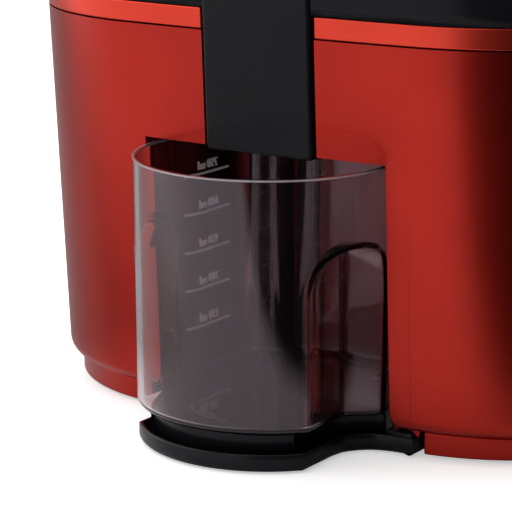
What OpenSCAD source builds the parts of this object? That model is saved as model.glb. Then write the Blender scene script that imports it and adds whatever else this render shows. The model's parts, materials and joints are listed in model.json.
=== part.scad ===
// Centrifugal juicer with a nested jug, a drip tray and a pulp container at the back.
// +Z is up, the front faces -Y, and the origin is on the table under the middle of the whole machine.

/* [Body] */
// Height of the body's leaning front above the table where the deck begins
deck_z = 169; // [160:1:180]
// Height of the seam between the red shell and the trim bands
seam_z = 160.5; // [150:0.5:164]
// Height of the red shell's lower edge
shell_z = 10.5; // [8:0.5:14]
// Lean of the front face from the vertical, in degrees
face_lean = 3.18; // [0:0.02:5]
// Radius of the gently curved front face
face_r = 1142; // [800:1:2000]
// Radius of the front corners seen from above
corner_r = 82; // [70:1:95]
// Wall thickness of the mouldings
wall = 2.8; // [2.2:0.1:3.4]
// Side taper, width lost each side per millimetre of height
side_taper = 0.016; // [0:0.002:0.03]
// Back of the housing
rear_y = 99; // [97:1:101]

/* [Recess and jug] */
// Half width of the jug recess
recess_half = 55; // [54.5:0.5:57]
// Height of the top edge of the recess
recess_z = 115; // [114:0.5:118]
// Radius of the jug's rim
jug_r = 52; // [48:0.5:52.5]
// Height of the jug
jug_h = 98; // [80:1:98]
// Height of the jug's base above the table
jug_z = 15; // [14:0.5:18]
// Wall thickness of the jug
jug_wall = 2.2; // [1.6:0.1:3]
// Depth of the finger grips, as the half width left between them
grip_half = 39.6; // [36:0.2:44]

/* [Column and knob] */
// Half width of the black front column
column_half = 24.3; // [20:0.1:28]
// Height of the column's lower end
column_z = 113.6; // [113.4:0.2:116]
// Radius of the control knob on the right side
knob_r = 17; // [12:0.5:20]
// Height of the control knob's axis
knob_z = 100; // [80:1:120]

/* [Bowl, basket and lid] */
// Distance of the drive axis behind the origin
axis_y = 4; // [3:0.5:4]
// Outer radius of the juice bowl
bowl_r = 84; // [82:0.5:84]
// Radius of the filter basket's rim
basket_r = 71; // [66:0.5:72]
// Radius of the grater disc
grater_r = 43; // [38:0.5:44]
// Outer radius of the feed chute
chute_r = 39; // [36:0.5:40]
// Height of the feed chute's mouth
chute_z = 330; // [300:1:340]
// Height of the lid's flat top
lid_z = 240; // [238:1:246]

/* [Motor] */
// Radius of the motor shaft
shaft_r = 4; // [3:0.5:5]
// Radius of the armature
armature_r = 22; // [18:0.5:24]
// Gap between a shaft and its bearing
running_gap = 0.04; // [0.02:0.01:0.08]

/* [Hidden] */
$fn = 64;
eps = 0.02;

rim_z = jug_z + jug_h;
jug_y = -113;
front_y = jug_y - 4.9;
face_half = 65;
corner_turn = 57;
side_r = 45;
rear_r = 40;
edge_r = 5.5;
shell_gap = 0.5;
deck_top = 200;
plinth_inset = 5;
plinth_half = 66.4;
plinth_z = 1.2;
pocket_back = -52;
bulge_half = 30;
bulge_back = -44;
shoulder_back = -57;
rear_corner_r = 10;
liner_wall = 2.2;
liner_z = 16.8;
liner_top = recess_z + 1.6;
pivot_x = 108;
pivot_z = 207;
pin_r = 2;
clamp_w = 34;
spout_y = -66;
bolt_r = 2;
screw_r = 1.5;
knob_x = 137;
knob_t = 13.6;
knob_y = 10;
spindle_r = 3;
gland_r = 6;
gland_y = 26;
gland_z = 34;
screw_spots = [[-112, -40], [112, -40], [-112, 50], [112, 50], [-80, 78], [80, 78]];
feet_spots = [[-98, -68], [98, -68], [-52, 142], [52, 142]];

red = [0.62, 0.08, 0.06];
bright_red = [0.8, 0.2, 0.14];
black = [0.09, 0.09, 0.1];
smoke = [0.35, 0.3, 0.33, 0.45];
steel = [0.75, 0.76, 0.78];
rubber = [0.05, 0.05, 0.05];
copper = [0.72, 0.4, 0.2];

// Y of the front face on the middle line at height z
function face_at(z) = front_y - (z - rim_z) * tan(face_lean);

// Points on an arc from angle a0 to a1
function arc(cx, cy, r, a0, a1, n) =
    [for (i = [0:n]) let (a = a0 + (a1 - a0) * i / n) [cx + r * cos(a), cy + r * sin(a)]];

// Right half of the body's outline at height z, drawn in by inset
function half_plan(z, inset) =
    let (
        a0 = asin(face_half / face_r),
        cy = face_at(z) + face_r,
        grow = side_taper * (z - seam_z),
        c1 = [(face_r - corner_r) * sin(a0) + grow, cy - (face_r - corner_r) * cos(a0)],
        c2 = c1 + (corner_r - side_r) * [sin(corner_turn), -cos(corner_turn)],
        side_x = c2[0] + side_r
    )
    concat(
        arc(0, cy, face_r - inset, -90, -90 + a0 - 0.3, 5),
        arc(c1[0], c1[1], corner_r - inset, -90 + a0, -90 + corner_turn, 9),
        arc(c2[0], c2[1], side_r - inset, -90 + corner_turn + 4, 0, 6),
        arc(side_x - rear_r, rear_y - rear_r, rear_r - inset, 0, 90, 9)
    );

function body_plan(z, inset) =
    let (h = half_plan(z, inset), n = len(h))
    concat(h, [for (i = [1:n - 1]) [-h[n - i][0], h[n - i][1]]]);

// Thin slice of the body at height z
module body_slice(z, inset) {
    translate([0, 0, z]) linear_extrude(eps) polygon(body_plan(z, inset));
}

// Solid body between two heights with an even inset
module body_block(z0, z1, inset) {
    hull() {
        body_slice(z0, inset);
        body_slice(z1 - eps, inset);
    }
}

// Slab that leans with the front face: between two heights, from d0 to d1 behind the face
module leaning_slab(z0, z1, d0, d1, half) {
    translate([-half, 0, 0]) rotate([90, 0, 90]) linear_extrude(2 * half)
        polygon([[face_at(z0) + d0, z0], [face_at(z0) + d1, z0], [face_at(z1) + d1, z1],
            [face_at(z1) + d0, z1]]);
}

module ring(r_in, r_out, z0, z1) {
    translate([0, 0, z0]) difference() {
        cylinder(r = r_out, h = z1 - z0);
        translate([0, 0, -1]) cylinder(r = r_in, h = z1 - z0 + 2);
    }
}

// Square with rounded corners made of true arcs
module rounded_square(x0, x1, y0, y1, r) {
    translate([x0 + r, y0]) square([x1 - x0 - 2 * r, y1 - y0]);
    translate([x0, y0 + r]) square([x1 - x0, y1 - y0 - 2 * r]);
    for (x = [x0 + r, x1 - r], y = [y0 + r, y1 - r]) translate([x, y]) circle(r);
}

// Front opening of the shell, seen from the front: the recess, its flared feet and the column's slot
module recess_opening() {
    translate([-recess_half, -5]) square([2 * recess_half, recess_z + 5]);
    translate([-column_half - 1.2, recess_z - 1]) square([2 * column_half + 2.4, seam_z]);
    difference() {
        translate([-recess_half - 8, -5]) square([2 * recess_half + 16, shell_z + 13]);
        for (s = [-1, 1]) translate([s * (recess_half + 8), shell_z + 8]) circle(8);
    }
}

module housing_shell() {
    color(red) {
        difference() {
            hull() {
                body_slice(shell_z, edge_r);
                body_slice(shell_z + 0.3 * edge_r, 0.29 * edge_r);
                body_slice(shell_z + edge_r, 0);
                body_slice(seam_z - shell_gap, 0);
            }
            hull() {
                body_slice(shell_z - 1, edge_r + wall + 1);
                body_slice(shell_z + edge_r, wall);
                body_slice(seam_z + 1, wall);
            }
            translate([0, -60, 0]) rotate([90, 0, 0]) linear_extrude(90) recess_opening();
            translate([100, knob_y, knob_z]) rotate([0, 90, 0])
                cylinder(r = spindle_r + running_gap, h = 60);
            translate([-100, gland_y, gland_z]) rotate([0, -90, 0]) cylinder(r = gland_r, h = 60);
        }
        difference() {
            intersection() {
                union() for (s = screw_spots) {
                    translate([s[0], s[1], 13.6]) cylinder(r = 5, h = 40);
                    shell_web(s);
                }
                body_block(12, 60, 1);
            }
            for (s = screw_spots) translate([s[0], s[1], 12]) cylinder(r = screw_r, h = 23.4);
        }
    }
}

// Web that ties a screw post to the nearest wall: sideways, or backwards from the rear posts
module shell_web(s) {
    if (s[1] > 60) translate([s[0] - 1.2, s[1] + 4, 16]) cube([2.4, 20, 36]);
    else translate([s[0] + (s[0] > 0 ? 4 : -24), s[1] - 1.2, 16]) cube([20, 2.4, 36]);
}

// Bright band between the shell and the deck, on one side of the column
module trim_band(side) {
    color(bright_red) difference() {
        body_block(seam_z, deck_z - 0.3, 0);
        body_block(seam_z - 1, deck_z + 1, wall);
        translate([-column_half - 1.2, -200, 0]) cube([2 * column_half + 2.4, 150, 300]);
        translate([side > 0 ? -300 : -0.1, -200, 0]) cube([300.1, 400, 300]);
    }
}

module trim_band_left() {
    trim_band(-1);
}

module trim_band_right() {
    trim_band(1);
}

module front_column() {
    color(black) leaning_slab(column_z, deck_top - 2, -1.4, 5, column_half);
}

module top_deck() {
    color(black) {
        difference() {
            union() {
                difference() {
                    union() {
                        hull() {
                            body_slice(deck_z, 0);
                            body_slice(deck_top - 8, 0.6);
                            body_slice(deck_top - 2.4, 3);
                            body_slice(deck_top - eps, 8);
                        }
                        body_block(157, deck_z + 2, wall + 0.3);
                    }
                    body_block(156, deck_top - 3, 2 * wall + 0.3);
                }
                translate([0, axis_y, 0]) rotate_extrude() polygon([[14.4, 170.5], [bowl_r + 4, 170.5],
                    [bowl_r + 4, deck_top - 1.5], [bowl_r + 1.6, deck_top - 1.5],
                        [bowl_r + 1.6, 173.5], [14.4, 173.5]]);
                for (x = [-30, 30], y = [-30, 30]) translate([x, axis_y + y, 152])
                    cylinder(r = 6, h = 20);
            }
            translate([0, axis_y, 190]) cylinder(r = bowl_r + 1, h = 60);
            translate([0, spout_y, 150]) cylinder(r = 12, h = 60);
            leaning_slab(150, deck_top + 4, -9, 7, column_half + 0.3);
            for (x = [-30, 30], y = [-30, 30]) translate([x, axis_y + y, 151])
                cylinder(r = bolt_r + 0.05, h = 14);
        }
        for (s = [-1, 1]) clamp_ears(s);
    }
}

// Two ears that carry a clamp's pin
module clamp_ears(s) {
    for (e = [-1, 1]) translate([s * pivot_x, axis_y + e * (clamp_w / 2 + 2.4), 0]) difference() {
        union() {
            translate([-4.4, -2, deck_top - 2.5]) cube([8.8, 4, pivot_z - deck_top + 2.5]);
            translate([0, 2, pivot_z]) rotate([90, 0, 0]) cylinder(r = 5, h = 4);
        }
        translate([0, 10, pivot_z]) rotate([90, 0, 0]) cylinder(r = pin_r, h = 20);
    }
}

module clamp_pins() {
    color(steel) for (s = [-1, 1]) {
        translate([s * pivot_x, axis_y + clamp_w / 2 + 5, pivot_z]) rotate([90, 0, 0])
            cylinder(r = pin_r, h = clamp_w + 10);
    }
}

// Right clamp: a barrel on the pin, an arm and a hook over the lid's lug
module clamp_right() {
    color(steel) translate([pivot_x, axis_y + clamp_w / 2, pivot_z]) rotate([90, 0, 0])
        linear_extrude(clamp_w) difference() {
        union() {
            circle(4.8);
            polygon([[-4.8, 0], [4.8, 0], [3, 19], [-2, 23], [-19.5, 23], [-21.5, 21], [-21.5, 17.3],
                [-6.5, 17.3], [-5.4, 15]]);
        }
        circle(pin_r + running_gap);
    }
}

module clamp_left() {
    mirror([1, 0, 0]) clamp_right();
}

// Plan of the pocket behind the front face, grown by d
module pocket_plan(d) {
    translate([-recess_half - d, -140])
        square([2 * recess_half + 2 * d, 140 + pocket_back + d - rear_corner_r]);
    rounded_square(-recess_half - d, recess_half + d, -120, pocket_back + d, rear_corner_r);
    rounded_square(-bulge_half - 4 - d, bulge_half + 4 + d, -80, bulge_back + 4 + d, rear_corner_r);
}

module recess_liner() {
    color(black) {
        difference() {
            intersection() {
                translate([0, 0, liner_z]) linear_extrude(liner_top + liner_wall - liner_z)
                    pocket_plan(liner_wall);
                leaning_slab(0, 140, 5.4, 120, 80);
            }
            linear_extrude(liner_top) pocket_plan(0);
            translate([0, spout_y, 100]) cylinder(r = 12, h = 40);
        }
        for (x = [-44, 44], y = [-104, -90]) translate([x, y, liner_top + liner_wall])
            cylinder(r = 3, h = 6);
    }
}

// Cut that the jug and the tray need in the base
module base_notch(half, back) {
    translate([-half, -200, -10]) cube([2 * half, 200 + back, 60]);
}

module foot_plinth() {
    color(red) difference() {
        difference() {
            body_block(plinth_z, shell_z - 0.1, plinth_inset);
            base_notch(plinth_half, -34);
        }
        difference() {
            body_block(plinth_z - 1, shell_z + 1, plinth_inset + 3);
            base_notch(plinth_half + 3, -31);
        }
        translate([-72.3, 60, -1]) cube([144.6, 60, 30]);
    }
}

module base_plate() {
    color(black) difference() {
        union() {
            difference() {
                body_block(11.4, 13.6, plinth_inset + 3.6);
                base_notch(plinth_half + 3.2, -30.8);
            }
            difference() {
                for (i = [0:1]) translate([feet_spots[i][0], feet_spots[i][1], 2.2])
                    cylinder(r = 11, h = 10);
                for (i = [0:1]) translate([feet_spots[i][0], feet_spots[i][1], 1.2])
                    cylinder(r = 9.2, h = 3);
            }
        }
        for (s = screw_spots) translate([s[0], s[1], 5]) cylinder(r = 2.2, h = 20);
        for (i = [-5:5]) translate([i * 9 - 2, axis_y - 24 + abs(i) * 2, 5])
            cube([4, 48 - abs(i) * 4, 20]);
    }
}

module rear_shelf() {
    color(black) {
        difference() {
            union() {
                translate([0, 0, plinth_z]) linear_extrude(9) rounded_square(-72, 72, 84, 158, 20);
                translate([0, 0, plinth_z]) linear_extrude(10.2) rounded_square(-60, 60, 80, 90, 4);
                translate([0, 0, plinth_z]) linear_extrude(19) intersection() {
                    rounded_square(-72, 72, 60, 158, 30);
                    translate([-72, rear_y + 0.5]) square([144, 80]);
                }
            }
            for (i = [2:3]) translate([feet_spots[i][0], feet_spots[i][1], 0])
                cylinder(r = 9.2, h = 4.2);
        }
    }
}

module rubber_feet() {
    color(rubber) for (p = feet_spots) translate([p[0], p[1], 0]) cylinder(r = 9, h = 4.2);
}

module housing_screws() {
    color(steel) for (s = screw_spots) translate([s[0], s[1], 0]) {
        translate([0, 0, 9]) cylinder(r = 4, h = 2.4);
        translate([0, 0, 11.4]) cylinder(r = screw_r, h = 20);
    }
}

// Cord inlet with its bend sleeve; it stands out as far as the knob does on the other side
module cord_gland() {
    sleeve_x = 136;
    color(rubber) translate([0, gland_y, gland_z]) rotate([0, -90, 0]) difference() {
        union() {
            translate([0, 0, 128]) cylinder(r = gland_r + 3, h = 2.6);
            translate([0, 0, 128]) cylinder(r = gland_r - 0.1, h = 9);
            translate([0, 0, sleeve_x]) cylinder(r = gland_r + 2, h = 2);
            translate([0, 0, sleeve_x + 2])
                cylinder(r1 = gland_r + 0.6, r2 = gland_r - 1.4, h = knob_x + knob_t - sleeve_x - 2);
        }
        translate([0, 0, 127]) cylinder(r = 3.2, h = 40);
    }
}

// ---- motor, on the drive axis ----

module motor_stator() {
    color([0.45, 0.45, 0.47]) translate([0, axis_y, 85]) difference() {
        linear_extrude(35) intersection() {
            square(78, center = true);
            circle(46);
        }
        translate([0, 0, -1]) cylinder(r = armature_r + 0.7, h = 40);
        for (s = [-1, 1]) translate([s * 27, 0, 17]) cube([9, 34, 60], center = true);
        for (x = [-30, 30], y = [-30, 30]) translate([x, y, -1]) cylinder(r = 2.2, h = 40);
    }
}

// Two field coils, one in each slot pair, standing proud of the stack at both ends
module field_windings() {
    color(copper) translate([0, axis_y, 0]) for (s = [-1, 1]) {
        translate([s * 27, 0, 102.5]) cube([8.4, 33, 54], center = true);
    }
}

module motor_bracket(z, arm, tab) {
    color([0.6, 0.6, 0.62]) translate([0, axis_y, z]) difference() {
        union() {
            for (a = [45, 135]) rotate([0, 0, a]) translate([-arm, -7, 0]) cube([2 * arm, 14, 5]);
            cylinder(r = 15, h = 8);
            if (tab > 0) translate([-6.5, -tab, 0]) cube([13, 2 * tab, 4.6]);
        }
        translate([0, 0, -1]) cylinder(r = 11, h = 20);
        for (x = [-30, 30], y = [-30, 30]) translate([x, y, -1]) cylinder(r = 2.2, h = 20);
    }
}

module upper_bracket() {
    motor_bracket(134, 49, 0);
}

// The lower bracket also has a tab under each brush holder
module lower_bracket() {
    motor_bracket(64, 49, 36);
}

module bearing(z) {
    color(steel) translate([0, axis_y, 0]) ring(shaft_r + running_gap, 11, z, z + 7);
}

module upper_bearing() {
    bearing(134.5);
}

module lower_bearing() {
    bearing(64.5);
}

// Four long bolts that hold the brackets and the stack together
module motor_bolts() {
    color(steel) for (x = [-30, 30], y = [-30, 30]) translate([x, axis_y + y, 0]) {
        translate([0, 0, 61]) cylinder(r = 4, h = 3);
        translate([0, 0, 64]) cylinder(r = bolt_r, h = 98);
    }
}

module motor_mounts() {
    color(rubber) for (x = [-30, 30], y = [-30, 30]) translate([x, axis_y + y, 0])
        ring(bolt_r + 0.05, 7, 139, 152);
}

module brush_holders() {
    color([0.4, 0.28, 0.16]) translate([0, axis_y, 0]) for (a = [90, 270]) rotate([0, 0, a])
        difference() {
        translate([24.5, 0, 75]) cube([18, 10, 12.4], center = true);
        translate([24.5, 0, 76.5]) cube([24, 6, 6], center = true);
    }
}

module carbon_brushes() {
    color([0.12, 0.12, 0.12]) translate([0, axis_y, 0]) for (a = [90, 270]) rotate([0, 0, a]) {
        translate([20.4, 0, 76.5]) cube([18.6, 5.8, 5.8], center = true);
    }
}

module shaft_seal() {
    color(rubber) translate([0, axis_y, 0]) ring(shaft_r + running_gap, 14.3, 169.5, 174.5);
}

module motor_shaft() {
    color(steel) translate([0, axis_y, 36]) cylinder(r = shaft_r, h = 152);
}

module armature_core() {
    color([0.5, 0.5, 0.52]) translate([0, axis_y, 0]) difference() {
        ring(shaft_r, armature_r, 86, 119);
        for (a = [0:30:330]) rotate([0, 0, a]) translate([armature_r - 4, -1.2, 80]) cube([8, 2.4, 50]);
    }
}

module armature_windings() {
    color(copper) translate([0, axis_y, 0]) {
        ring(shaft_r, 17, 119, 127);
        ring(11, 17, 82, 86);
    }
}

module commutator() {
    color(copper) translate([0, axis_y, 0]) difference() {
        ring(shaft_r, 11, 72, 86);
        for (a = [0:30:330]) rotate([0, 0, a]) translate([9.5, -0.4, 71]) cube([4, 0.8, 11]);
    }
}

module cooling_fan() {
    color(black) translate([0, axis_y, 0]) {
        ring(shaft_r, 9, 42, 56);
        ring(8, 38, 54, 56);
        for (a = [0:40:320]) rotate([0, 0, a]) translate([8, -1, 42]) cube([29, 2, 13]);
    }
}

// Toothed drive dog on the shaft's top
module drive_coupling() {
    color(black) translate([0, axis_y, 0]) {
        ring(shaft_r, 8, 176, 189);
        for (a = [0:60:300]) rotate([0, 0, a]) translate([7.4, -1.5, 176]) cube([3.4, 3, 12]);
    }
}

// ---- basket, bowl and lid ----

basket_foot = 181;
basket_top = 224;

module filter_basket() {
    color(steel) translate([0, axis_y, 0]) {
        rotate_extrude() polygon([[grater_r, basket_foot], [grater_r + 1.2, basket_foot],
            [basket_r - 1.8, basket_top - 2], [basket_r - 3, basket_top - 2]]);
        difference() {
            ring(11, grater_r + 0.6, basket_foot, basket_foot + 2);
            for (a = [0:60:300]) rotate([0, 0, a]) translate([10, -1.7, 170]) cube([1.2, 3.4, 20]);
        }
        difference() {
            ring(8.1, 14, basket_foot, 190);
            for (a = [0:60:300]) rotate([0, 0, a]) translate([7, -1.7, 170]) cube([4, 3.4, 25]);
        }
        translate([0, 0, 190]) cylinder(r = 14, h = 2);
    }
}

module basket_rim() {
    color(black) translate([0, axis_y, 0])
        ring(basket_r - 1.75, basket_r + 1, basket_top - 7, basket_top + 1);
}

// Disc with rings of small raised teeth
module grater_disc() {
    color(steel) translate([0, axis_y, 0]) difference() {
        union() {
            ring(14, grater_r - 0.1, basket_foot + 2, basket_foot + 3.4);
            for (r = [20:6:38], a = [0:360 / round(r * 0.8):359]) rotate([0, 0, a])
                translate([r, 0, basket_foot + 3.4]) rotate([0, 0, 30]) translate([0, 0, -0.2])
                    cylinder(r = 1, h = 1.4, $fn = 4);
        }
    }
}

module juice_bowl() {
    color(smoke) difference() {
        union() {
            translate([0, axis_y, 0]) {
                ring(bowl_r - 2.4, bowl_r, 174, deck_top + 6);
                ring(bowl_r - 2.4, bowl_r + 5, deck_top + 0.3, deck_top + 3);
                ring(14.8, bowl_r, 174, 176.4);
                ring(14.8, 17, 174, 180);
            }
            translate([0, spout_y, 117.5]) cylinder(r = 11, h = 58);
        }
        translate([0, spout_y, 100]) cylinder(r = 9, h = 100);
        translate([-20, spout_y - 20, 108]) rotate([16, 0, 0]) cube([40, 60, 10]);
    }
}

hood_half = 62;
chute_y = -16;

// Plan of the lid's hood, drawn in by d: a channel from the bowl and a cover over the pulp container
module hood_plan(d) {
    rounded_square(-hood_half + d, hood_half - d, 30 + d, rear_y + 30, 6);
    pulp_plan(d);
}

module lid() {
    color(smoke) difference() {
        union() {
            translate([0, axis_y, 0]) {
                translate([0, 0, deck_top + 3.3]) cylinder(r = bowl_r + 4, h = 3);
                translate([0, 0, deck_top + 3.3]) cylinder(r = bowl_r + 1, h = 24);
                translate([0, 0, deck_top + 27.3])
                    cylinder(r1 = bowl_r + 1, r2 = bowl_r - 14, h = lid_z - deck_top - 27.3);
            }
            translate([0, 0, deck_top + 4.5]) linear_extrude(lid_z - deck_top - 8) hood_plan(0);
            translate([0, 0, deck_top + 3.3]) linear_extrude(3) pulp_plan(0);
            translate([0, chute_y, 214]) cylinder(r = chute_r, h = chute_z - 214);
            for (s = [-1, 1]) translate([s * 90 - 6, axis_y - 14, deck_top + 3.3]) cube([12, 28, 20.4]);
        }
        translate([0, axis_y, 0]) difference() {
            union() {
                translate([0, 0, 190]) cylinder(r = bowl_r + 0.4, h = 17);
                translate([0, 0, 200]) cylinder(r = bowl_r - 1.6, h = 26.8);
                translate([0, 0, 226.7])
                    cylinder(r1 = bowl_r - 1.6, r2 = bowl_r - 16, h = lid_z - 229.3);
            }
            translate([0, chute_y - axis_y, 214]) cylinder(r = chute_r, h = 40);
        }
        difference() {
            translate([0, 0, 190]) linear_extrude(lid_z - 195.9) hood_plan(2.4);
            translate([-100, 0, 190]) cube([200, rear_y + 5.6, 17]);
            translate([0, axis_y, 190]) cylinder(r = 60, h = 80);
        }
        translate([0, chute_y, 200]) cylinder(r = chute_r - 2.4, h = 200);
    }
}

module food_pusher() {
    pusher_r = chute_r - 2.4 - 0.7;
    color(black) translate([0, chute_y, 0]) difference() {
        union() {
            translate([0, 0, 222]) cylinder(r = pusher_r, h = chute_z - 222);
            translate([0, 0, chute_z + 0.5]) cylinder(r = chute_r + 2, h = 6);
            translate([0, 0, chute_z - 1]) cylinder(r = pusher_r, h = 4);
            translate([0, 0, chute_z + 6]) cylinder(r1 = chute_r + 2, r2 = chute_r - 4, h = 9);
        }
        translate([0, 0, 226]) cylinder(r = pusher_r - 2.4, h = chute_z - 226 + 30);
    }
}

module control_knob() {
    color(steel) translate([0, knob_y, knob_z]) rotate([0, 90, 0]) difference() {
        union() {
            translate([0, 0, knob_x]) cylinder(r = knob_r, h = knob_t - 1.6);
            translate([0, 0, knob_x + knob_t - 1.6]) cylinder(r1 = knob_r, r2 = knob_r - 1.6, h = 1.6);
        }
        translate([0, 0, knob_x - 1]) cylinder(r = spindle_r, h = 8);
    }
}

module knob_spindle() {
    color(steel) translate([knob_x - 22, knob_y, knob_z]) rotate([0, 90, 0])
        cylinder(r = spindle_r, h = 29);
}

module speed_switch() {
    color([0.2, 0.2, 0.22]) difference() {
        translate([knob_x - 28, knob_y - 13, knob_z - 12]) cube([22, 26, 24]);
        translate([knob_x - 23, knob_y, knob_z]) rotate([0, 90, 0])
            cylinder(r = spindle_r + running_gap, h = 30);
    }
}

module control_board() {
    color([0.1, 0.35, 0.16]) {
        translate([-48, -108, liner_top + liner_wall + 6]) cube([96, 22, 1.6]);
        translate([-30, -102, liner_top + liner_wall + 7.6]) cube([14, 10, 12]);
        translate([8, -103, liner_top + liner_wall + 7.6]) cylinder(r = 5, h = 14);
        translate([26, -102, liner_top + liner_wall + 7.6]) cube([16, 12, 9]);
    }
}

module interlock_switch() {
    color([0.2, 0.2, 0.22]) translate([pivot_x - 6, axis_y - 10, deck_top - 14]) cube([7, 20, 11]);
}

// ---- jug, tray and pulp container ----

// Finger grip cut on one side, grown by d; its top is an arch with round shoulders
module grip_cut(s, d) {
    arch_r = 12.4 + d;
    top = jug_z + 71.4 + d;
    intersection() {
        translate([0, 0, -20]) linear_extrude(200) polygon([
            [s * (grip_half - d), jug_y - 60], [s * (grip_half - d), jug_y - 5.4 + d * 0.4],
            [s * (jug_r + 1), jug_y + 6 + d], [s * 90, jug_y + 6 + d], [s * 90, jug_y - 60]]);
        translate([-150, 0, 0]) rotate([90, 0, 90]) linear_extrude(300) {
            translate([jug_y - 34 - d, -20]) square([42 + 2 * d, top - arch_r + 20]);
            rounded_square(jug_y - 34 - d, jug_y + 8 + d, top - 3 * arch_r, top, arch_r);
        }
    }
}

// Full body of the jug, drawn in by d, from height z0 to z1
module jug_body(d, z0, z1) {
    translate([0, jug_y, z0]) cylinder(r1 = jug_r - 1 - d, r2 = jug_r - d, h = z1 - z0);
    translate([0, 0, z0]) linear_extrude(z1 - z0) {
        rounded_square(-48 + d, 48 - d, jug_y + 4, shoulder_back - d, rear_corner_r - d);
        rounded_square(-bulge_half + d, bulge_half - d, jug_y + 30, bulge_back - d, rear_corner_r - d);
    }
}

module juice_jug() {
    color(smoke) difference() {
        jug_body(0, jug_z, rim_z);
        difference() {
            jug_body(jug_wall, jug_z + 2.6, rim_z + 1);
            for (s = [-1, 1]) grip_cut(s, jug_wall);
        }
        for (s = [-1, 1]) grip_cut(s, 0);
    }
}

// Outline of the tray, drawn in by d: a front lobe under the jug and two wings under the body
module tray_plan(d) {
    wing = 63.5 - d;
    neck = 38.5 - d;
    fillet = 18 + d;
    intersection() {
        translate([0, jug_y]) circle(50.4 - d);
        translate([-neck, jug_y - 60]) square([2 * neck, 80]);
    }
    difference() {
        translate([-wing, front_y - 2]) square([2 * wing, -36 - d - front_y + 2]);
        for (s = [-1, 1]) {
            translate([s * 56.5, front_y - 2]) circle(fillet);
            translate([s > 0 ? 56.5 : -90, front_y - 3]) square([33.5, 19 + d]);
        }
    }
}

module drip_tray() {
    color(black) {
        difference() {
            translate([0, 0, 0.5]) linear_extrude(7.1) tray_plan(0);
            translate([0, 0, 2.5]) linear_extrude(10) tray_plan(2);
        }
        translate([0, 0, 2]) linear_extrude(jug_z - 2.2) intersection() {
            tray_plan(5);
            translate([-50, -200]) square([100, 145]);
        }
    }
}

// Plan of the pulp container, drawn in by d
module pulp_plan(d) {
    intersection() {
        rounded_square(-88 + d, 88 - d, 40, 165 - d, 46 - d);
        translate([-100, rear_y + 3 + d]) square([200, 100]);
    }
}

module pulp_container() {
    color(smoke) difference() {
        union() {
            translate([0, 0, 20.5]) linear_extrude(182) pulp_plan(0);
        }
        translate([0, 0, 23]) linear_extrude(200) pulp_plan(2.4);
    }
}

housing_shell();
trim_band_left();
trim_band_right();
front_column();
top_deck();
recess_liner();
foot_plinth();
base_plate();
rear_shelf();
rubber_feet();
housing_screws();
cord_gland();
motor_stator();
field_windings();
upper_bracket();
lower_bracket();
upper_bearing();
lower_bearing();
motor_bolts();
motor_mounts();
brush_holders();
carbon_brushes();
shaft_seal();
speed_switch();
control_board();
interlock_switch();
clamp_pins();
motor_shaft();
armature_core();
armature_windings();
commutator();
cooling_fan();
drive_coupling();
filter_basket();
basket_rim();
grater_disc();
juice_bowl();
lid();
food_pusher();
clamp_left();
clamp_right();
control_knob();
knob_spindle();
juice_jug();
drip_tray();
pulp_container();
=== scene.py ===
# A centrifugal juicer: red housing, clear jug on a drip tray, bowl and lid on top, pulp bin behind.
import json
import math

import bmesh
import bpy
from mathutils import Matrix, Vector
import numpy as np

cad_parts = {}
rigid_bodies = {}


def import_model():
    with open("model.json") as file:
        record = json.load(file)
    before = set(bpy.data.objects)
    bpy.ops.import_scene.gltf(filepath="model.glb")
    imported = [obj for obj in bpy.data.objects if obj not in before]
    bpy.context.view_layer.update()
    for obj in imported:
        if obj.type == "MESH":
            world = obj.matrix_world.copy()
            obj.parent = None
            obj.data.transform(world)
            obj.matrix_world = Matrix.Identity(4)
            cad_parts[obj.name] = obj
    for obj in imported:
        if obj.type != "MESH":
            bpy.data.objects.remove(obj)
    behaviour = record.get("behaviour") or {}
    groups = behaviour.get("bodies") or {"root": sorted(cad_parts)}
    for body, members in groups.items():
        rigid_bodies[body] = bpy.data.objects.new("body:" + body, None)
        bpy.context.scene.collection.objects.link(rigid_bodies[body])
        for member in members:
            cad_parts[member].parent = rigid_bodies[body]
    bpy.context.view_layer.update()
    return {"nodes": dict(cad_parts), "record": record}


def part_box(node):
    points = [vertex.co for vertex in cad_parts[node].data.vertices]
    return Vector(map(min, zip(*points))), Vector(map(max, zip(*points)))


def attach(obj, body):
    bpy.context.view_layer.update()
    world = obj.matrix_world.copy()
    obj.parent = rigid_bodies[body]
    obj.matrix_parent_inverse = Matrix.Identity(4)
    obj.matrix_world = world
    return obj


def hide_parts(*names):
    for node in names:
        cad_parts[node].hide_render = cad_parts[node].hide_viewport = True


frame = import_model()
print("frame loaded:", len(frame["nodes"]), "nodes")

mm = 0.001
jugLow, jugHigh = [np.array(corner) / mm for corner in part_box("juice_jug")]
shellLow, shellHigh = [np.array(corner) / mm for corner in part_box("housing_shell")]
binLow, binHigh = [np.array(corner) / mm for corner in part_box("pulp_container")]
lidLow = np.array(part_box("lid")[0]) / mm
pusherLow, pusherHigh = [np.array(corner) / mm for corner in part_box("food_pusher")]
plinthLow, plinthHigh = [np.array(corner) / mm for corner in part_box("foot_plinth")]
knobLow, knobHigh = [np.array(corner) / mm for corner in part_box("control_knob")]

bodyShape = {
    "lean": math.tan(math.radians(3.18)),   # how far the front leans back, per mm of height
    "faceRadius": 1142.0,
    "faceHalf": 65.0,                       # where the corner begins
    "cornerRadius": 82.0,
    "cornerTurn": 57.0,
    "sideRadius": 45.0,
    "rearRadius": 40.0,
    "taper": 0.016,
    "seamZ": 160.5,
    "frontY": jugLow[1] + 47.1,             # front face at the height of the jug's rim
    "rimZ": jugHigh[2],
    "rearY": shellHigh[1],
}


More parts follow.
